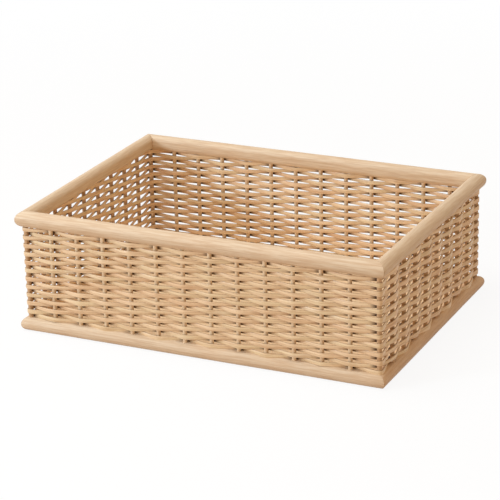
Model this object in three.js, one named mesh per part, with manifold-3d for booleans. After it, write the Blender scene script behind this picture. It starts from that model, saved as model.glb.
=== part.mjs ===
// Rectangular storage basket: two mitred wooden frames held apart by thin stakes,
// two flat strands woven in and out of the stakes, and a thin panel for a base.
// Millimetres, +Z up. The origin is on the standing plane, below the basket's middle.

import * as THREE from 'three';
import { mergeVertices } from 'three/addons/utils/BufferGeometryUtils.js';
import Module from 'manifold-3d';

const wasm = await Module();
wasm.setup();

// Overall size, over the outside of the rails
const LENGTH = 360;
const WIDTH = 260;
const HEIGHT = 116;

// Rails: half round outside and flat inside
const RAIL_WIDTH = 13;
const TOP_RAIL_HEIGHT = 15;
const TOP_RAIL_EDGE_RADIUS = 4;
const BOTTOM_RAIL_HEIGHT = 13;
const BOTTOM_RAIL_EDGE_RADIUS = 1.2;
const NOSE_FACETS = 12;
const TOP_EDGE_FACETS = 5;
const BOTTOM_EDGE_FACETS = 3;

// Base panel, lying on a ledge in the bottom rails
const BASE_THICKNESS = 3;
const BASE_LIFT = 3;
const BASE_CORNER_CUT = 2;
const LEDGE_WIDTH = 2;

// Stakes in the middle of the rails, and the stouter posts in the corners, set further in
const STAKE_DIAMETER = 4;
const CORNER_POST_DIAMETER = 4.6;
const CORNER_POST_SETBACK = 1;
const STAKE_SIDES = 8;
const SOCKET_DEPTH = 6;
const LONG_WALL_BAYS = 13;
const SHORT_WALL_BAYS = 9;

// Woven strands
const STRAND_WIDTH = 3.6;
const STRAND_THICKNESS = 1.6;
const STRAND_TAIL = 4;

// Fits
const CLEARANCE = 0.3;
const CUT_OVERRUN = 1;
const MERGE_TOLERANCE = 1e-4;

// Colours
const RAIL_COLOUR = 0xe4c9a8;
const STAKE_COLOUR = 0xdcc09a;
const STRAND_COLOUR = 0xd2ad82;
const BASE_COLOUR = 0xe6d3b0;

// Places that follow from the sizes above
const STAKE_RADIUS = STAKE_DIAMETER / 2;
const POST_RADIUS = CORNER_POST_DIAMETER / 2;
const RAIL_INNER_FACE = RAIL_WIDTH - LEDGE_WIDTH;
const STAKE_INSET = RAIL_WIDTH / 2;
const POST_INSET = STAKE_INSET + CORNER_POST_SETBACK;
const TOP_RAIL_UNDERSIDE = HEIGHT - TOP_RAIL_HEIGHT;
const WALL_HEIGHT = TOP_RAIL_UNDERSIDE - BOTTOM_RAIL_HEIGHT;
const STAKE_FOOT = BOTTOM_RAIL_HEIGHT - SOCKET_DEPTH + CLEARANCE;
const STAKE_HEAD = TOP_RAIL_UNDERSIDE + SOCKET_DEPTH - CLEARANCE;
const STRANDS = 2;
const TURNS = Math.floor(WALL_HEIGHT / (STRANDS * (STRAND_WIDTH + CLEARANCE)));
const ROW_PITCH = WALL_HEIGHT / (STRANDS * TURNS);

const basket = new THREE.Group();

function addPiece(parent, name, geometry, colour) {
  const material = new THREE.MeshStandardMaterial({ color: colour, roughness: 0.7, metalness: 0 });
  const mesh = new THREE.Mesh(geometry, material);
  mesh.name = name;
  parent.add(mesh);
  return mesh;
}

// Boolean cuts

function toSolid(geometry) {
  const bare = geometry.clone();
  bare.deleteAttribute('normal');
  bare.deleteAttribute('uv');
  const merged = mergeVertices(bare, MERGE_TOLERANCE);
  return new wasm.Manifold(new wasm.Mesh({
    numProp: 3,
    vertProperties: new Float32Array(merged.attributes.position.array),
    triVerts: new Uint32Array(merged.index.array),
  }));
}

function toGeometry(solid) {
  const mesh = solid.getMesh();
  const geometry = new THREE.BufferGeometry();
  geometry.setAttribute('position', new THREE.BufferAttribute(mesh.vertProperties, 3));
  geometry.setIndex(new THREE.BufferAttribute(mesh.triVerts, 1));
  geometry.computeVertexNormals();
  return geometry;
}

// Upright round bar between two heights
function uprightBar(radius, low, high) {
  const bar = new THREE.CylinderGeometry(radius, radius, high - low, STAKE_SIDES);
  bar.rotateX(Math.PI / 2);
  bar.translate(0, 0, (low + high) / 2);
  return bar;
}

// Points of an elliptic arc, its ends given in quarter turns
function arcPoints(x, y, radiusX, radiusY, from, to, facets) {
  const quarter = Math.PI / 2;
  const arc = new THREE.EllipseCurve(x, y, radiusX, radiusY, from * quarter, to * quarter);
  return arc.getPoints(facets);
}

// Rail sections: x runs inwards from the outside of the basket, y runs up

// The half round outside, from the top over the nose to the underside
function nosePoints(height) {
  return arcPoints(RAIL_WIDTH / 2, height / 2, RAIL_WIDTH / 2, height / 2, 1, 3, NOSE_FACETS);
}

// Flat inside, with well rounded edges
function topRailSection() {
  const radius = TOP_RAIL_EDGE_RADIUS;
  const edge = RAIL_WIDTH - radius;
  return new THREE.Shape([
    ...nosePoints(TOP_RAIL_HEIGHT),
    ...arcPoints(edge, radius, radius, radius, 3, 4, TOP_EDGE_FACETS),
    ...arcPoints(edge, TOP_RAIL_HEIGHT - radius, radius, radius, 0, 1, TOP_EDGE_FACETS),
  ]);
}

// Flat underneath and inside, with a ledge for the base panel
function bottomRailSection() {
  const radius = BOTTOM_RAIL_EDGE_RADIUS;
  const ledgeHeight = BASE_LIFT - CLEARANCE;
  const ledgeEdge = RAIL_INNER_FACE - radius;
  return new THREE.Shape([
    ...nosePoints(BOTTOM_RAIL_HEIGHT),
    ...arcPoints(RAIL_WIDTH - radius, radius, radius, radius, 3, 4, BOTTOM_EDGE_FACETS),
    new THREE.Vector2(RAIL_WIDTH, ledgeHeight),
    new THREE.Vector2(RAIL_INNER_FACE, ledgeHeight),
    ...arcPoints(ledgeEdge, BOTTOM_RAIL_HEIGHT - radius, radius, radius, 0, 1, BOTTOM_EDGE_FACETS),
  ]);
}

// A rail lies along X with its outer face at Y = 0, and is mitred at both ends
function mitredRail(section, span) {
  const rail = new THREE.ExtrudeGeometry(section, { depth: 1, bevelEnabled: false });
  const place = rail.attributes.position;
  for (let i = 0; i < place.count; i += 1) {
    const inset = place.getX(i);
    const height = place.getY(i);
    const end = place.getZ(i) > 0.5 ? 1 : -1;
    place.setXYZ(i, end * (span / 2 - inset - CLEARANCE / 2), inset, height);
  }
  return rail;
}

// Stakes of one wall, from corner post to corner post, in the rail's own directions
function wallStations(span, bays) {
  const bay = (span - 2 * POST_INSET) / bays;
  return Array.from({ length: bays + 1 }, (_, i) => {
    const corner = i === 0 || i === bays;
    return {
      corner,
      along: -span / 2 + POST_INSET + i * bay,
      inset: corner ? POST_INSET : STAKE_INSET,
      radius: corner ? POST_RADIUS : STAKE_RADIUS,
    };
  });
}

function drillSockets(rail, stations, low, high) {
  let solid = toSolid(rail);
  for (const station of stations) {
    const drill = uprightBar(station.radius + CLEARANCE, low, high);
    drill.translate(station.along, station.inset, 0);
    solid = solid.subtract(toSolid(drill));
  }
  return toGeometry(solid);
}

// Walls in the order in which the strands go round
const WALLS = [
  { name: 'front', span: LENGTH, depth: WIDTH, bays: LONG_WALL_BAYS, turn: 0 },
  { name: 'right', span: WIDTH, depth: LENGTH, bays: SHORT_WALL_BAYS, turn: 1 },
  { name: 'back', span: LENGTH, depth: WIDTH, bays: LONG_WALL_BAYS, turn: 2 },
  { name: 'left', span: WIDTH, depth: LENGTH, bays: SHORT_WALL_BAYS, turn: 3 },
];
const CORNERS = ['front_left', 'front_right', 'back_right', 'back_left'];

function wallGroup(wall) {
  const group = new THREE.Group();
  const angle = wall.turn * Math.PI / 2;
  group.rotation.z = angle;
  group.position.set(Math.sin(angle) * wall.depth / 2, -Math.cos(angle) * wall.depth / 2, 0);
  basket.add(group);
  group.updateMatrixWorld(true);
  return group;
}

// Rails and stakes, wall by wall; each wall brings the post at its first corner
const loop = [];
WALLS.forEach((wall, index) => {
  const group = wallGroup(wall);
  const stations = wallStations(wall.span, wall.bays);

  const topRail = mitredRail(topRailSection(), wall.span);
  const topSockets = drillSockets(topRail, stations, -CUT_OVERRUN, SOCKET_DEPTH);
  addPiece(group, `top_rail_${wall.name}`, topSockets, RAIL_COLOUR).position.z = TOP_RAIL_UNDERSIDE;

  const bottomRail = mitredRail(bottomRailSection(), wall.span);
  const bottomSockets = drillSockets(
    bottomRail, stations, BOTTOM_RAIL_HEIGHT - SOCKET_DEPTH, BOTTOM_RAIL_HEIGHT + CUT_OVERRUN);
  addPiece(group, `bottom_rail_${wall.name}`, bottomSockets, RAIL_COLOUR);

  stations.slice(0, -1).forEach((station, number) => {
    const name = station.corner
      ? `corner_post_${CORNERS[index]}`
      : `stake_${wall.name}_${String(number).padStart(2, '0')}`;
    const stake = addPiece(group, name, uprightBar(station.radius, STAKE_FOOT, STAKE_HEAD), STAKE_COLOUR);
    stake.position.set(station.along, station.inset, 0);
    const centre = stake.position.clone().applyMatrix4(group.matrixWorld);
    const forward = new THREE.Vector3(1, 0, 0).transformDirection(group.matrixWorld);
    const outward = new THREE.Vector3(0, -1, 0).transformDirection(group.matrixWorld);
    loop.push({ corner: station.corner, radius: station.radius, centre, forward, outward });
  });
});

// Base panel, its corners cut to clear the mitres of the ledge
function basePanel() {
  const margin = RAIL_INNER_FACE + CLEARANCE;
  const x = LENGTH / 2 - margin;
  const y = WIDTH / 2 - margin;
  const cut = BASE_CORNER_CUT;
  const outline = new THREE.Shape();
  outline.moveTo(cut - x, -y);
  outline.lineTo(x - cut, -y);
  outline.lineTo(x, cut - y);
  outline.lineTo(x, y - cut);
  outline.lineTo(x - cut, y);
  outline.lineTo(cut - x, y);
  outline.lineTo(-x, y - cut);
  outline.lineTo(-x, cut - y);
  return new THREE.ExtrudeGeometry(outline, { depth: BASE_THICKNESS, bevelEnabled: false });
}

addPiece(basket, 'base_panel', basePanel(), BASE_COLOUR).position.z = BASE_LIFT;

// Where a strand bends as it passes one stake, on the outside or the inside
function passPoints(stake, previousWall, outside) {
  const reach = stake.radius + CLEARANCE + STRAND_THICKNESS / 2;
  const at = (outward, forward) => stake.centre.clone()
    .addScaledVector(stake.outward, outward)
    .addScaledVector(stake.forward, forward);
  if (!stake.corner) {
    return [at(outside ? reach : -reach, 0)];
  }
  const before = previousWall.outward;
  const diagonal = before.clone().add(stake.outward).normalize();
  if (!outside) {
    const deep = stake.radius + CLEARANCE + STRAND_THICKNESS * Math.SQRT1_2;
    return [stake.centre.clone().addScaledVector(diagonal, -deep)];
  }
  const shoulder = reach * Math.tan(Math.PI / 8);
  const side = (forward) => stake.centre.clone()
    .addScaledVector(before, reach)
    .addScaledVector(previousWall.forward, forward);
  return [side(-stake.radius), side(shoulder), at(reach, -shoulder), at(reach, stake.radius)];
}

// The strands start and step up a row on the left wall, beside its last stake.
// Every round is level, and passes outside each second stake.
function strandPath(strand) {
  const count = loop.length;
  const start = count - 1;
  const path = [];
  for (let turn = 0; turn < TURNS; turn += 1) {
    const height = BOTTOM_RAIL_HEIGHT + (STRANDS * turn + strand + 0.5) * ROW_PITCH;
    for (let step = 0; step < count; step += 1) {
      const index = (start + step) % count;
      const stake = loop[index];
      const previousWall = loop[(index + count - 1) % count];
      for (const point of passPoints(stake, previousWall, index % STRANDS !== strand)) {
        path.push(point.setZ(height));
      }
    }
  }
  const along = loop[start].forward;
  path.unshift(path[0].clone().addScaledVector(along, -STRAND_TAIL));
  path.push(path[path.length - 1].clone().addScaledVector(along, STRAND_TAIL));
  return path;
}

// Sideways half width of a ribbon at a bend, so that its thickness is even on both sides
function bendOffset(path, i) {
  const ahead = path[Math.min(i + 1, path.length - 1)];
  const behind = path[Math.max(i - 1, 0)];
  const left = (from, to) => new THREE.Vector3(from.y - to.y, to.x - from.x, 0).normalize();
  const normalIn = i > 0 ? left(behind, path[i]) : left(path[i], ahead);
  const normalOut = i < path.length - 1 ? left(path[i], ahead) : normalIn;
  const bisector = normalIn.clone().add(normalOut);
  return bisector.multiplyScalar(STRAND_THICKNESS / 2 / (1 + normalIn.dot(normalOut)));
}

// Flat ribbon on edge along a path, closed at both ends
function ribbon(path) {
  const positions = [];
  const indices = [];
  const quad = (a, b, c, d) => indices.push(a, b, c, a, c, d);
  const half = STRAND_WIDTH / 2;
  path.forEach((point, i) => {
    const offset = bendOffset(path, i);
    for (const [side, lift] of [[-1, -half], [1, -half], [1, half], [-1, half]]) {
      positions.push(point.x + side * offset.x, point.y + side * offset.y, point.z + lift);
    }
  });
  const corners = 4;
  for (let i = 0; i < path.length - 1; i += 1) {
    for (let c = 0; c < corners; c += 1) {
      const next = (c + 1) % corners;
      const ring = i * corners;
      quad(ring + c, ring + next, ring + corners + next, ring + corners + c);
    }
  }
  const last = (path.length - 1) * corners;
  quad(0, 3, 2, 1);
  quad(last, last + 1, last + 2, last + 3);
  const geometry = new THREE.BufferGeometry();
  geometry.setAttribute('position', new THREE.Float32BufferAttribute(positions, 3));
  geometry.setIndex(indices);
  geometry.computeVertexNormals();
  return geometry;
}

['weaver_a', 'weaver_b'].forEach((name, strand) => {
  addPiece(basket, name, ribbon(strandPath(strand)), STRAND_COLOUR);
});

export default basket;
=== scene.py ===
"""Looks of a rectangular storage basket.

Two mitred frames of pale wood are held apart by thin peeled stakes, and two flat willow strands are
woven in and out of the stakes. Metres, +Z up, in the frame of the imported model: the basket stands on
z = 0, with its long side along X and its front towards -Y.
"""
import math
import random
from collections import namedtuple

import bmesh
import bpy
from mathutils import Matrix, Vector, noise
from mathutils.geometry import interpolate_bezier


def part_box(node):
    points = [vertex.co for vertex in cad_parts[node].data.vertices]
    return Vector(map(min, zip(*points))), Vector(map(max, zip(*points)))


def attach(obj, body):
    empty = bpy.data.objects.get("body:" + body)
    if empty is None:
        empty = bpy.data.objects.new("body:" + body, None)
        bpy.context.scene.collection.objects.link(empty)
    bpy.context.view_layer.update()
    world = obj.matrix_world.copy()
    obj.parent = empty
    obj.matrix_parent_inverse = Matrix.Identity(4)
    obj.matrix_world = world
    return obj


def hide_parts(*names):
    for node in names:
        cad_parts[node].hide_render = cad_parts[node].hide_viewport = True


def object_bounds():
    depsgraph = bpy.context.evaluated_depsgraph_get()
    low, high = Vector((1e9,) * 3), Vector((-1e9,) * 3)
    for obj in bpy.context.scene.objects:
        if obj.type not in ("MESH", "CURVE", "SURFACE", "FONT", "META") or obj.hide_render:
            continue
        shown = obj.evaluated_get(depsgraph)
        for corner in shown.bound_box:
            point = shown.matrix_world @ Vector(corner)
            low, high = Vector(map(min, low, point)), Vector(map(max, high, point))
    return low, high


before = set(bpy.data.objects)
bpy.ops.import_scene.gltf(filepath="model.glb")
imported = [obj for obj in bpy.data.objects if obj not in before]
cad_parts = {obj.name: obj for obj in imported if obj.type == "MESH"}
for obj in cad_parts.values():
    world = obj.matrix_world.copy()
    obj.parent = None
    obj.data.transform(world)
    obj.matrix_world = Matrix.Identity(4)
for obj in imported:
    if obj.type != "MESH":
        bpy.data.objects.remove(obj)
cad_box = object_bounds()

MM = 0.001
CREASE_ANGLE = math.radians(50)
NOISE_SEED = 5

# Walls in the order in which the strands go round, each with the corner where it starts
WALLS = ("front", "right", "back", "left")
CORNERS = ("front_left", "front_right", "back_right", "back_left")

# Rails
RAIL_CUTS = 36
NOSE_SEGMENTS = 12
EDGE_SEGMENTS = 6
NOSE_FLAT = 0.1 * MM
TOP_EDGE_RADIUS = 5.5 * MM
BOTTOM_EDGE_RADIUS = 1.2 * MM
PANEL_PLAY = 0.3 * MM
MITRE_GAP = 0.12 * MM
MITRE_EASE = 0.25 * MM
RAIL_WAVE = 0.3 * MM
RAIL_WAVES_PER_METRE = 18

# Boards the rails are cut from, with colours as 0 to 255 on screen. The second is a darker, redder copy
# of the first, as painted shade
Board = namedtuple("Board", "dark middle light blotch lines gleam")
PALE_BOARD = Board(
    (214, 186, 152), (223, 199, 168), (229, 210, 183), (226, 194, 159), (198, 161, 125), (240, 222, 197))
SHADE_DARKENED_BOARD = Board(
    (212, 173, 133), (221, 188, 151), (227, 198, 164), (220, 180, 140), (190, 146, 106), (236, 208, 176))

# Grain of the rails, as waves per metre
GRAIN_ALONG = 14
GRAIN_ACROSS = 1000
PORES_ALONG = 42
PORES_ACROSS = 800
FIGURE_MIDDLE = 0.65

# Stakes and corner posts, with waves per metre
STAKE_SIDES = 14
STAKE_CUTS = 16
STAKE_SWAY = 0.12 * MM
STAKE_LUMPS = 0.05
STAKE_WAVES_ASIDE = 90
STAKE_WAVES_UP = 40
LUMPS_PER_WAVE = 2.5

# Woven strands: widths are shares of the row pitch
ROWS = 22
STRANDS = 2
STRAND_THICKNESS = 1.6 * MM
STRAND_SEAT = 0.1 * MM
STRAND_SIDES = 12
BAY_STEPS = 12
WRAP_STEPS = 3
TAIL_STEPS = 4
LONG_TAIL_STEPS = 8
TAIL_TAPER = 0.7
WRAP_BENDS = 4
WRAP_SQUEEZE = 0.55
SQUEEZE_RUN = 3
HANDLE_SHARE = 0.18
WIDTH_AT_STAKE = 1.06
WIDTH_BETWEEN = 0.93
SECTION_POWER = 0.5

# The right wall is woven fuller and more unevenly than the front and back, the left wall thinner
RIGHT_WALL_WIDTH = 0.2
RIGHT_WALL_PLAY = 0.8
LEFT_WALL_SLACK = 0.1

# Unevenness of the strands, with waves per metre
STRAND_SWAY = 0.3 * MM
SWAY_WAVES = 16
SWAY_ROW_STEP = 0.3
STRAND_JITTER = 0.3 * MM
JITTER_WAVES = 45
JITTER_ROW_STEP = 3.1
JITTER_STRAND_STEP = 50
STRAND_SPREAD = 0.2
SPREAD_RATE = 0.5
STRAND_ROLL = math.radians(13)
ROLL_RATE = 0.4
ROLL_START = Vector((7, 3, 1))
FOOT_SAG = 1.3 * MM
FOOT_SAG_MIDDLE = 0.6
FOOT_SAG_RATE = 0.3
PIECE_LENGTHS = (0.35, 1.1)
PIECE_TONES = (0.22, 0.8)
# Strength of the painted shade in the recesses where a stake covers a strand's face
CREVICE_SHADE = 0.95
WELD = 0.001 * MM

# Camera
IMAGE_PIXELS = 500
SENSOR = 36
FOCAL_PIXELS = 2141.94
CAMERA_AZIMUTH = math.radians(25.436)
CAMERA_ELEVATION = math.radians(20.631)
CAMERA_ROLL = math.radians(-1.370)
CAMERA_DISTANCE = 1.99432
CAMERA_AIM = Vector((0, 0, 0.05825))
CAMERA_ASIDE = Vector((0.005385, -0.000742))

# Studio
FLOOR_RADIUS = 4
FLOOR_SIDES = 64
FLOOR_GLOW = 0.9
FLOOR_BOUNCE = (0.62, 0.48, 0.36, 1)
PAPER_WHITE = (1, 1, 1, 1)
GLOW_NEAR = 0.35
GLOW_FAR = 1.2
AMBIENT = 0.55
AMBIENT_COLOUR = (1, 0.78, 0.55, 1)
Lamp = namedtuple("Lamp", "name place size power colour")
LAMPS = (
    Lamp("key_lamp", Vector((-1.4, -1.5, 0.8)), 0.5, 17.4, (0.9, 1.075, 1.27)),
    Lamp("top_lamp", Vector((-0.4, -0.3, 1.8)), 1.2, 14.8, (0.95, 1.02, 1.1)),
)


# Shader building

def srgb(red, green, blue):
    """A colour given as 0 to 255 on screen, as linear light."""
    def linear(value):
        value /= 255
        return value / 12.92 if value <= 0.04045 else ((value + 0.055) / 1.055) ** 2.4
    return (linear(red), linear(green), linear(blue), 1)


class Finish:
    """A material under construction."""

    def __init__(self, name, roughness):
        self.material = bpy.data.materials.new(name)
        self.material.use_nodes = True
        self.tree = self.material.node_tree
        self.surface = self.tree.nodes["Principled BSDF"]
        self.surface.inputs["Roughness"].default_value = roughness
        self.surface.inputs["Specular IOR Level"].default_value = 0.3

    def node(self, kind, inputs=None, **settings):
        """Adds a node. An input is a number, a colour or another node's output."""
        made = self.tree.nodes.new("ShaderNode" + kind)
        for name, value in settings.items():
            setattr(made, name, value)
        for name, value in (inputs or {}).items():
            self.feed(made.inputs[name], value)
        return made

    def feed(self, socket, value):
        if isinstance(value, bpy.types.NodeSocket):
            self.tree.links.new(value, socket)
        else:
            socket.default_value = value

    def math(self, operation, *values):
        return self.node("Math", dict(enumerate(values)), operation=operation).outputs["Value"]

    def stretched(self, source, scale):
        """Coordinates scaled per axis."""
        return self.node("Mapping", {"Vector": source, "Scale": scale}).outputs["Vector"]

    def noise(self, space, scale, detail=2, roughness=0.5):
        fields = {"Vector": space, "Scale": scale, "Detail": detail, "Roughness": roughness}
        return self.node("TexNoise", fields).outputs["Fac"]

    def remap(self, value, low, high, to_low=0, to_high=1):
        fields = {"Value": value, "From Min": low, "From Max": high, "To Min": to_low, "To Max": to_high}
        return self.node("MapRange", fields).outputs["Result"]

    def ramp(self, value, colours):
        """Blends evenly spaced colours."""
        made = self.node("ValToRGB", {"Fac": value})
        points = made.color_ramp.elements
        while len(points) < len(colours):
            points.new(0.5)
        for i, colour in enumerate(colours):
            points[i].position = i / (len(colours) - 1)
            points[i].color = colour
        return made.outputs["Color"]

    def mix(self, factor, first, second):
        made = self.node("MixRGB", {"Fac": factor, "Color1": first, "Color2": second})
        return made.outputs["Color"]

    def relief(self, height, depth, strength):
        made = self.node("Bump", {"Height": height, "Distance": depth, "Strength": strength})
        self.feed(self.surface.inputs["Normal"], made.outputs["Normal"])

    def finish(self, colour, roughness):
        self.feed(self.surface.inputs["Base Color"], colour)
        self.feed(self.surface.inputs["Roughness"], roughness)
        return self.material


def rail_wood(name, axis, streaks, evenness, pores, board):
    """Planed pale wood with its grain along X, axis 0, or along Y, axis 1.

    streaks is the strength of long dark lines and pores that of short dark and light ones. A large
    evenness leaves little light and dark."""
    finish = Finish(name, 0.5)
    place = finish.node("TexCoord").outputs["Object"]

    def drawn_out(along, across):
        scale = [across] * 3
        scale[axis] = along
        return finish.stretched(place, scale)

    grain = drawn_out(GRAIN_ALONG, GRAIN_ACROSS)
    fleck = finish.noise(drawn_out(PORES_ALONG, PORES_ACROSS), 1, detail=2, roughness=0.6)
    growth = finish.noise(grain, 0.42, detail=3, roughness=0.55)
    lines = finish.noise(grain, 0.9, detail=2, roughness=0.6)
    fibre = finish.noise(grain, 2.6, detail=2, roughness=0.6)
    blotch = finish.noise(place, 16, detail=2)
    figure = finish.math("MULTIPLY_ADD", fibre, 0.35, finish.remap(growth, 0.3, 0.7))
    figure = finish.remap(figure, FIGURE_MIDDLE - evenness, FIGURE_MIDDLE + evenness)
    colour = finish.ramp(figure, [srgb(*board.dark), srgb(*board.middle), srgb(*board.light)])
    colour = finish.mix(finish.remap(blotch, 0.42, 0.7, 0, 0.4), colour, srgb(*board.blotch))
    colour = finish.mix(finish.remap(lines, 0.56, 0.72, 0, streaks), colour, srgb(*board.lines))
    colour = finish.mix(finish.remap(fleck, 0.46, 0.66, 0, pores), colour, srgb(*board.lines))
    colour = finish.mix(finish.remap(fleck, 0.5, 0.34, 0, pores), colour, srgb(*board.gleam))
    finish.relief(finish.math("MULTIPLY_ADD", growth, 0.6, fibre), 0.2 * MM, 0.2)
    return finish.finish(colour, finish.remap(fibre, 0.3, 0.7, 0.42, 0.62))


def strand_willow():
    """Split willow: fibres run along the strand, each length has its own tone, recesses and row edges get
    painted shade.
    """
    finish = Finish("split_willow", 0.45)
    finish.surface.inputs["Specular IOR Level"].default_value = 0.5
    along = finish.node("Attribute", attribute_name="strand").outputs["Vector"]
    tone = finish.node("Attribute", attribute_name="tone").outputs["Fac"]
    crevice = finish.node("Attribute", attribute_name="crevice").outputs["Fac"]
    edge = finish.node("SeparateXYZ", {"Vector": along}).outputs["Z"]
    fibre = finish.noise(finish.stretched(along, (45, 2.2, 2.2)), 1, detail=3, roughness=0.6)
    drift = finish.noise(finish.stretched(along, (26, 0.4, 0.4)), 1, detail=2)
    specks = finish.noise(finish.stretched(along, (420, 3, 3)), 1, detail=1)
    shade = finish.math("MULTIPLY_ADD", finish.remap(drift, 0.3, 0.7, -0.5, 0.5), 0.4, tone)
    colour = finish.ramp(shade, [
        srgb(231, 194, 154), srgb(242, 210, 170), srgb(248, 221, 183), srgb(238, 214, 172),
        srgb(255, 235, 205)])
    colour = finish.mix(finish.remap(fibre, 0.42, 0.68, 0, 0.68), colour, srgb(200, 156, 112))
    colour = finish.mix(finish.remap(specks, 0.68, 0.76, 0, 0.35), colour, srgb(176, 132, 90))
    # Painted shade: the strand's top and bottom edges, where the rows meet, are darkened
    row_edge_shade = finish.remap(finish.math("ABSOLUTE", edge), 0.75, 1, 0, 0.52)
    colour = finish.mix(row_edge_shade, colour, srgb(146, 100, 62))
    # Painted shade: the strand turns deep brown where a stake covers its face, in the recess behind the
    # stake
    recess_shade = finish.remap(crevice, 0.2, 0.8, 0, CREVICE_SHADE)
    colour = finish.mix(recess_shade, colour, srgb(82, 51, 28))
    finish.relief(fibre, 0.3 * MM, 0.35)
    return finish.finish(colour, finish.remap(fibre, 0.3, 0.7, 0.32, 0.52))


def stake_wood(name, dark, light):
    """Peeled willow sticks, with the grain upright."""
    finish = Finish(name, 0.55)
    place = finish.node("TexCoord").outputs["Object"]
    grain = finish.stretched(place, (1000, 1000, 30))
    fibre = finish.noise(grain, 1.4, detail=3, roughness=0.6)
    drift = finish.noise(place, 30, detail=2)
    colour = finish.ramp(finish.remap(drift, 0.3, 0.7), [dark, light])
    colour = finish.mix(finish.remap(fibre, 0.4, 0.75, 0, 0.25), colour, srgb(176, 134, 94))
    finish.relief(fibre, 0.2 * MM, 0.3)
    return finish.finish(colour, finish.remap(fibre, 0.3, 0.7, 0.45, 0.65))


def base_plywood():
    """Thin sanded plywood, pale, with a broad soft figure along its length."""
    finish = Finish("base_plywood", 0.6)
    place = finish.node("TexCoord").outputs["Object"]
    figure = finish.noise(finish.stretched(place, (4, 34, 34)), 1, detail=3)
    fibre = finish.noise(finish.stretched(place, (45, 900, 900)), 1, detail=2, roughness=0.6)
    blotch = finish.noise(place, 9, detail=2)
    colour = finish.ramp(finish.remap(figure, 0.3, 0.7), [
        srgb(238, 208, 168), srgb(244, 218, 180), srgb(248, 226, 192)])
    colour = finish.mix(finish.remap(fibre, 0.5, 0.75, 0, 0.35), colour, srgb(226, 192, 150))
    colour = finish.mix(finish.remap(blotch, 0.45, 0.7, 0, 0.3), colour, srgb(240, 206, 164))
    finish.relief(fibre, 0.1 * MM, 0.25)
    return finish.finish(colour, finish.remap(fibre, 0.3, 0.7, 0.5, 0.7))


# Places and pieces

def wall_axes(turn):
    """Direction along a wall, the way the strands go, and direction out of the basket."""
    angle = turn * math.pi / 2
    along = Vector((round(math.cos(angle)), round(math.sin(angle)), 0))
    outward = Vector((along.y, -along.x, 0))
    return along, outward


def make_piece(name, bm, material, nodes):
    """Turns a finished bmesh into a piece that stands for CAD nodes."""
    bmesh.ops.recalc_face_normals(bm, faces=bm.faces)
    mesh = bpy.data.meshes.new(name)
    bm.to_mesh(mesh)
    bm.free()
    mesh.shade_smooth()
    mesh.set_sharp_from_angle(angle=CREASE_ANGLE)
    mesh.materials.append(material)
    piece = bpy.data.objects.new(name, mesh)
    bpy.context.scene.collection.objects.link(piece)
    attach(piece, "root")
    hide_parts(*nodes)


# Rails, each modelled along X with its outer face at Y = 0 and then turned into its wall

def rounded_section(bm, corners, eased, edge_radius):
    """An outline in a plane. Its first and last corners make a half round, the eased ones a small one."""
    verts = [bm.verts.new((0, y, z)) for y, z in corners]
    bm.faces.new(verts)
    height = verts[-1].co.z
    rounding = {"profile": 0.5, "affect": "VERTICES", "material": -1}
    bmesh.ops.bevel(
        bm, geom=[verts[i] for i in eased], offset=edge_radius, segments=EDGE_SEGMENTS, **rounding)
    bmesh.ops.bevel(
        bm, geom=[verts[0], verts[-1]], offset=height / 2 - NOSE_FLAT, segments=NOSE_SEGMENTS, **rounding)


def flat_backed_section(bm, width, height):
    """Half round outside and flat inside."""
    corners = [(0, 0), (width, 0), (width, height), (0, height)]
    rounded_section(bm, corners, (1, 2), TOP_EDGE_RADIUS)


def ledge_section(bm, width, height):
    """Half round outside, flat underneath and inside, with a ledge for the base panel."""
    panel_low, panel_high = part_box("base_panel")
    ledge = panel_low.z - PANEL_PLAY
    inner = cad_box[1].x - panel_high.x - PANEL_PLAY
    corners = [(0, 0), (width, 0), (width, ledge), (inner, ledge), (inner, height), (0, height)]
    rounded_section(bm, corners, (1, 4), BOTTOM_EDGE_RADIUS)


def mitred_bar(bm, span):
    """Draws a section out along X and cuts both ends to 45 degrees, with eased rims."""
    section = bm.faces[:]
    drawn = bmesh.ops.extrude_face_region(bm, geom=section, use_keep_orig=True)
    far = [v for v in drawn["geom"] if isinstance(v, bmesh.types.BMVert)]
    bmesh.ops.translate(bm, verts=far, vec=(span, 0, 0))
    bmesh.ops.translate(bm, verts=bm.verts, vec=(-span / 2, 0, 0))
    lengthwise = [e for e in bm.edges if abs(e.verts[0].co.x - e.verts[1].co.x) > span / 2]
    bmesh.ops.subdivide_edges(bm, edges=lengthwise, cuts=RAIL_CUTS, use_grid_fill=True)
    rims = []
    for end in (-1, 1):
        everything = bm.verts[:] + bm.edges[:] + bm.faces[:]
        corner = (end * (span / 2 - MITRE_GAP), 0, 0)
        cut = bmesh.ops.bisect_plane(
            bm, geom=everything, plane_co=corner, plane_no=(end, 1, 0), clear_outer=True)
        rim = [e for e in cut["geom_cut"] if isinstance(e, bmesh.types.BMEdge)]
        bmesh.ops.contextual_create(bm, geom=rim)
        rims += rim
    bmesh.ops.bevel(
        bm, geom=rims, offset=MITRE_EASE, segments=2, profile=0.5, affect="EDGES", material=-1)


def make_rails(level, section, finishes):
    for turn, wall in enumerate(WALLS):
        along, outward = wall_axes(turn)
        node = f"{level}_rail_{wall}"
        low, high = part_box(node)
        size = high - low
        reach = abs(cad_box[1].dot(outward))
        bm = bmesh.new()
        section(bm, abs(size.dot(outward)), size.z)
        mitred_bar(bm, 2 * abs(cad_box[1].dot(along)))
        place = Matrix.Translation(outward * reach + Vector((0, 0, low.z)))
        turned = Matrix.Rotation(turn * math.pi / 2, 4, "Z")
        bmesh.ops.transform(bm, verts=bm.verts, matrix=place @ turned)
        for vert in bm.verts:
            wave = noise.noise_vector(vert.co * RAIL_WAVES_PER_METRE) * RAIL_WAVE
            vert.co.xy -= wave.xy
        make_piece(f"{wall}_{level}_rail", bm, finishes[turn % 2], [node])


# Stakes

Station = namedtuple("Station", "node centre radius low high along outward corner")


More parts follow.
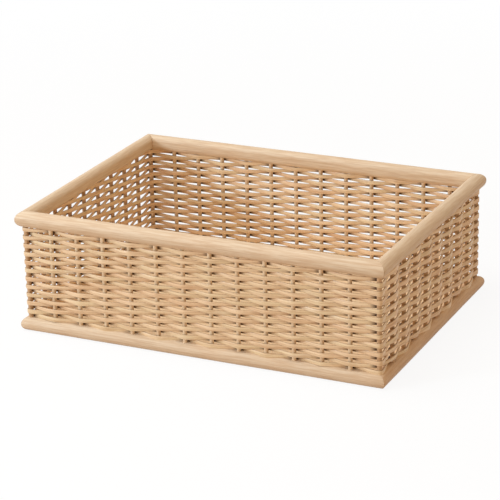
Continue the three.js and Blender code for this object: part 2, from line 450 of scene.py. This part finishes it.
def find_stations():
    """The corner posts and stakes, in the order in which the strands pass them."""
    found = []
    for turn, wall in enumerate(WALLS):
        along, outward = wall_axes(turn)
        post = f"corner_post_{CORNERS[turn]}"
        stakes = sorted(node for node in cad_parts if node.startswith(f"stake_{wall}_"))
        for node in [post, *stakes]:
            low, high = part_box(node)
            centre = Vector(((low.x + high.x) / 2, (low.y + high.y) / 2, 0))
            radius = (high.x - low.x) / 2
            found.append(Station(node, centre, radius, low.z, high.z, along, outward, node == post))
    return found


def add_stick(bm, station):
    """A round stick that sways and thickens a little along its length."""
    length = station.high - station.low
    middle = Matrix.Translation(station.centre + Vector((0, 0, station.low + length / 2)))
    bmesh.ops.create_cone(
        bm, cap_ends=True, segments=STAKE_SIDES, radius1=station.radius, radius2=station.radius,
        depth=length, matrix=middle)
    uncut = [e for e in bm.edges if e.calc_length() > length / 2]
    cut = bmesh.ops.subdivide_edges(bm, edges=uncut, cuts=STAKE_CUTS)
    rings = [v for v in cut["geom_inner"] if isinstance(v, bmesh.types.BMVert)]
    for vert in rings:
        spot = station.centre * STAKE_WAVES_ASIDE
        spot.z = vert.co.z * STAKE_WAVES_UP
        sway = noise.noise_vector(spot) * STAKE_SWAY
        swell = 1 + STAKE_LUMPS * noise.noise(spot * LUMPS_PER_WAVE)
        out = vert.co - station.centre
        vert.co.x = station.centre.x + out.x * swell + sway.x
        vert.co.y = station.centre.y + out.y * swell + sway.y


def make_sticks(name, stations, material):
    bm = bmesh.new()
    for station in stations:
        add_stick(bm, station)
    make_piece(name, bm, material, [station.node for station in stations])


# Woven strands

Bend = namedtuple("Bend", "place wraps outside")
Step = namedtuple("Step", "place hold squeeze outside rise taper")


def bends(station, before, outside):
    """Where a strand bends as it passes one stake. Outside a corner post it wraps tightly round it."""
    reach = station.radius + STRAND_SEAT + STRAND_THICKNESS / 2
    if not station.corner:
        return [Bend(station.centre + station.outward * (reach if outside else -reach), 0, outside)]
    if not outside:
        diagonal = (before.outward + station.outward).normalized()
        return [Bend(station.centre - diagonal * reach, 0, outside)]
    tight = station.radius + STRAND_SEAT + STRAND_THICKNESS / 2 * WRAP_SQUEEZE
    turns = [i / (WRAP_BENDS - 1) * math.pi / 2 for i in range(WRAP_BENDS)]
    spokes = [Matrix.Rotation(turn, 3, "Z") @ before.outward for turn in turns]
    return [Bend(station.centre + spoke * tight, 1, outside) for spoke in spokes]


def one_round(stations, strand):
    """One turn of a strand, from the last stake of the left wall round to the same stake.

    hold is 1 at a stake and 0 between stakes, squeeze is 1 where the strand wraps a post, outside is
    1 outside a stake and 0 inside it, rise goes from 0 to 1 in the last bay, and nothing tapers yet."""
    count = len(stations)
    order = [(count - 1 + i) % count for i in range(count + 1)]
    course = []
    for i in order:
        course += bends(stations[i], stations[i - 1], i % STRANDS != strand)
    steps = []
    for i in range(len(course) - 1):
        start, end = course[i], course[i + 1]
        before = course[i - 1] if i else course[-2]
        after = course[i + 2] if i + 2 < len(course) else course[1]
        chord = end.place - start.place
        handle = chord.length * HANDLE_SHARE
        leave = ((start.place - before.place).normalized() + chord.normalized()).normalized()
        arrive = (chord.normalized() + (after.place - end.place).normalized()).normalized()
        wraps = start.wraps and end.wraps
        parts = WRAP_STEPS if wraps else BAY_STEPS
        curve = interpolate_bezier(
            start.place, start.place + leave * handle, end.place - arrive * handle, end.place, parts + 1)
        for k, place in enumerate(curve[:-1]):
            share = k / parts
            hold = 1 if wraps else (1 + math.cos(2 * math.pi * share)) / 2
            leaving = max(0, 1 - share * SQUEEZE_RUN)
            arriving = max(0, 1 - (1 - share) * SQUEEZE_RUN)
            squeeze = 1 if wraps else start.wraps * leaving + end.wraps * arriving
            outside = start.outside * (1 - share) + end.outside * share
            rise = share * share * (3 - 2 * share) if i == len(course) - 2 else 0
            steps.append(Step(place, hold, squeeze, outside, rise, 0))
    return steps


def slanted(steps):
    """A loose end whose last steps taper towards a slanting cut."""
    count = len(steps)
    return [step._replace(taper=TAIL_TAPER * (i / (count - 1)) ** 2) for i, step in enumerate(steps)]


def strand_course(stations, strand):
    """A whole strand as (step, row), with a tail at both ends, longer where it is the outermost row."""
    ring = one_round(stations, strand)
    turns = ROWS // STRANDS
    last_bay = ring[len(ring) - BAY_STEPS:]
    head_steps = LONG_TAIL_STEPS if strand == 0 else TAIL_STEPS
    tail_steps = LONG_TAIL_STEPS if strand == STRANDS - 1 else TAIL_STEPS
    head = slanted(last_bay[-head_steps:][::-1])[::-1]
    course = [(step, strand) for step in head]
    for turn in range(turns):
        last = turn == turns - 1
        steps = ring[:len(ring) - BAY_STEPS] if last else ring
        course += [(step, STRANDS * (turn + step.rise) + strand) for step in steps]
    tail = slanted(last_bay[:tail_steps + 1])
    course += [(step, STRANDS * (turns - 1) + strand) for step in tail]
    return course


def strand_tones(lengths, seed):
    """A tone for each step. It changes where one length of willow ends and the next begins."""
    draw = random.Random(seed)
    tones = []
    end = 0
    for length in lengths:
        if length >= end:
            end = length + draw.uniform(*PIECE_LENGTHS)
            tone = draw.uniform(*PIECE_TONES)
        tones.append(tone)
    return tones


Ring = namedtuple("Ring", "centre side half_width half_thickness roll hidden_out hidden_in")


def strand_rings(course, strand):
    """The strand's place, size and twist at each step of its course.

    hidden_out and hidden_in are 1 where a stake covers the strand's outer or inner face, and mask the
    painted shade there."""
    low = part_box("bottom_rail_front")[1].z
    pitch = (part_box("top_rail_front")[0].z - low) / ROWS
    rings = []
    for i, (step, row) in enumerate(course):
        ahead = course[min(i + 1, len(course) - 1)][0].place - course[max(i - 1, 0)][0].place
        side = Vector((ahead.y, -ahead.x, 0)).normalized()
        spot = step.place * SWAY_WAVES
        spot.z = row * SWAY_ROW_STEP
        near = step.place * JITTER_WAVES
        near.z = row * JITTER_ROW_STEP + JITTER_STRAND_STEP * strand
        height = low + (row + 0.5) * pitch
        on_right, on_left = max(0, side.x), max(0, -side.x)
        play = 1 + RIGHT_WALL_PLAY * on_right
        height += noise.noise(spot) * STRAND_SWAY + noise.noise(near) * STRAND_JITTER * play
        sag = FOOT_SAG * (FOOT_SAG_MIDDLE + noise.noise(near * FOOT_SAG_RATE))
        height -= sag * step.outside * max(0, 1 - row / STRANDS)
        at_stake = WIDTH_AT_STAKE + RIGHT_WALL_WIDTH * on_right
        half_width = pitch / 2 * (WIDTH_BETWEEN + (at_stake - WIDTH_BETWEEN) * step.hold)
        half_width *= 1 - LEFT_WALL_SLACK * on_left
        half_width *= (1 + STRAND_SPREAD * noise.noise(near * SPREAD_RATE)) * (1 - step.taper)
        half_thickness = STRAND_THICKNESS / 2 * (1 + (WRAP_SQUEEZE - 1) * step.squeeze)
        roll = STRAND_ROLL * play * noise.noise(near * ROLL_RATE + ROLL_START) * (1 - step.squeeze)
        centre = Vector((step.place.x, step.place.y, height))
        hidden_out, hidden_in = step.hold * (1 - step.outside), step.hold * step.outside
        rings.append(Ring(centre, side, half_width, half_thickness, roll, hidden_out, hidden_in))
    return rings


def make_strand(name, node, stations, strand, material):
    course = strand_course(stations, strand)
    rings = strand_rings(course, strand)
    lengths = [0]
    for ring, following in zip(rings, rings[1:]):
        lengths.append(lengths[-1] + (following.centre - ring.centre).length)
    tones = strand_tones(lengths, strand)

    def squared(value):
        return math.copysign(abs(value) ** SECTION_POWER, value)

    bm = bmesh.new()
    bmesh.ops.create_grid(bm, x_segments=len(rings) - 1, y_segments=STRAND_SIDES, size=0.5)
    along_layer = bm.verts.layers.float_vector.new("strand")
    tone_layer = bm.verts.layers.float.new("tone")
    crevice_layer = bm.verts.layers.float.new("crevice")
    for vert in bm.verts:
        i = round((vert.co.x + 0.5) * (len(rings) - 1))
        angle = round((vert.co.y + 0.5) * STRAND_SIDES) * 2 * math.pi / STRAND_SIDES
        ring = rings[i]
        out = squared(math.cos(angle)) * ring.half_thickness
        up = squared(math.sin(angle)) * ring.half_width
        turned_out = out * math.cos(ring.roll) - up * math.sin(ring.roll)
        turned_up = out * math.sin(ring.roll) + up * math.cos(ring.roll)
        vert.co = ring.centre + ring.side * turned_out + Vector((0, 0, turned_up))
        vert[along_layer] = Vector((lengths[i], math.cos(angle), math.sin(angle)))
        vert[tone_layer] = tones[i]
        # The crevice attribute carries the mask of the painted shade in the recesses
        vert[crevice_layer] = ring.hidden_out if math.cos(angle) > 0 else ring.hidden_in
    bmesh.ops.remove_doubles(bm, verts=bm.verts, dist=WELD)
    bmesh.ops.holes_fill(bm, edges=[e for e in bm.edges if e.is_boundary], sides=0)
    make_piece(name, bm, material, [node])


# Studio

def seen_directly(finish):
    """1 for what the camera, a reflection or a clear body shows, 0 for the light on a surface."""
    path = finish.node("LightPath").outputs
    either = finish.math("MAXIMUM", path["Is Camera Ray"], path["Is Glossy Ray"])
    return finish.math("MAXIMUM", either, path["Is Transmission Ray"])


def make_floor():
    """White floor that fades into the white surroundings and keeps the basket's soft shadow."""
    bm = bmesh.new()
    bmesh.ops.create_circle(bm, cap_ends=True, segments=FLOOR_SIDES, radius=FLOOR_RADIUS)
    mesh = bpy.data.meshes.new("floor")
    bm.to_mesh(mesh)
    bm.free()
    floor = bpy.data.objects.new("floor", mesh)
    bpy.context.scene.collection.objects.link(floor)
    finish = Finish("white_paper", 0.9)
    seen = seen_directly(finish)
    finish.feed(finish.surface.inputs["Base Color"], finish.mix(seen, FLOOR_BOUNCE, PAPER_WHITE))
    place = finish.node("TexCoord").outputs["Object"]
    far = finish.node("VectorMath", {0: place}, operation="LENGTH").outputs["Value"]
    fade = finish.remap(far, GLOW_NEAR, GLOW_FAR, FLOOR_GLOW, 1)
    white = finish.math("MULTIPLY", fade, seen)
    glow = finish.node("Emission", {"Color": (1, 1, 1, 1), "Strength": 1}).outputs["Emission"]
    shader = finish.node("MixShader", {0: white, 1: finish.surface.outputs["BSDF"], 2: glow})
    finish.feed(finish.tree.nodes["Material Output"].inputs["Surface"], shader.outputs["Shader"])
    mesh.materials.append(finish.material)


class Surroundings(Finish):
    """The world's own node tree."""

    def __init__(self):
        world = bpy.data.worlds.new("white_studio")
        world.use_nodes = True
        bpy.context.scene.world = world
        self.tree = world.node_tree


def make_surroundings():
    sky = Surroundings()
    soft = sky.node("Background", {"Color": AMBIENT_COLOUR, "Strength": AMBIENT})
    white = sky.node("Background", {"Color": (1, 1, 1, 1), "Strength": 1})
    fields = {0: seen_directly(sky), 1: soft.outputs["Background"], 2: white.outputs["Background"]}
    shader = sky.node("MixShader", fields)
    sky.feed(sky.tree.nodes["World Output"].inputs["Surface"], shader.outputs["Shader"])


def make_lamp(lamp):
    light = bpy.data.lights.new(lamp.name, "AREA")
    light.shape = "DISK"
    light.size = lamp.size
    light.energy = lamp.power
    light.color = lamp.colour
    holder = bpy.data.objects.new(lamp.name, light)
    holder.location = lamp.place
    holder.rotation_euler = (CAMERA_AIM - lamp.place).to_track_quat("-Z", "Y").to_euler()
    bpy.context.scene.collection.objects.link(holder)


def make_camera():
    a, e = CAMERA_AZIMUTH, CAMERA_ELEVATION
    back = Vector((math.sin(a) * math.cos(e), -math.cos(a) * math.cos(e), math.sin(e)))
    right = Vector((math.cos(a), math.sin(a), 0))
    axes = Matrix((right, back.cross(right), back)).transposed() @ Matrix.Rotation(CAMERA_ROLL, 3, "Z")
    camera = bpy.data.cameras.new("camera")
    camera.sensor_width = SENSOR
    camera.lens = SENSOR * FOCAL_PIXELS / IMAGE_PIXELS
    holder = bpy.data.objects.new("camera", camera)
    aside = axes @ CAMERA_ASIDE.to_3d()
    holder.matrix_world = Matrix.Translation(CAMERA_AIM + back * CAMERA_DISTANCE - aside) @ axes.to_4x4()
    bpy.context.scene.collection.objects.link(holder)
    bpy.context.scene.camera = holder


noise.seed_set(NOISE_SEED)

make_camera()
make_floor()
make_surroundings()
for lamp in LAMPS:
    make_lamp(lamp)

long_rail = rail_wood(
    "rail_wood_long", axis=0, streaks=0.26, evenness=0.85, pores=0.4, board=PALE_BOARD)
short_top_rail = rail_wood(
    "rail_wood_short_top", axis=1, streaks=0.06, evenness=1.3, pores=0.28, board=PALE_BOARD)
# The short bottom rails take the darker, redder board as painted shade
short_bottom_rail = rail_wood(
    "rail_wood_short_bottom", axis=1, streaks=0.15, evenness=0.8, pores=0.3, board=SHADE_DARKENED_BOARD)
make_rails("top", flat_backed_section, [long_rail, short_top_rail])
make_rails("bottom", ledge_section, [long_rail, short_bottom_rail])

stations = find_stations()
pale_stick = stake_wood("pale_stick", srgb(238, 208, 171), srgb(248, 225, 191))
# The side walls' stakes and the corner posts take a darker copy of the stick wood, as painted shade
shade_darkened_stick = stake_wood("shade_darkened_stick", srgb(200, 161, 121), srgb(222, 187, 148))
for turn, wall in enumerate(WALLS):
    own = [s for s in stations if s.node.startswith(f"stake_{wall}_")]
    make_sticks(f"{wall}_stakes", own, (pale_stick, shade_darkened_stick)[turn % 2])
make_sticks("corner_posts", [s for s in stations if s.corner], shade_darkened_stick)

willow = strand_willow()
make_strand("first_strand", "weaver_a", stations, 0, willow)
make_strand("second_strand", "weaver_b", stations, 1, willow)

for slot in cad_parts["base_panel"].material_slots:
    slot.material = base_plywood()

bpy.context.scene.view_settings.view_transform = "Standard"
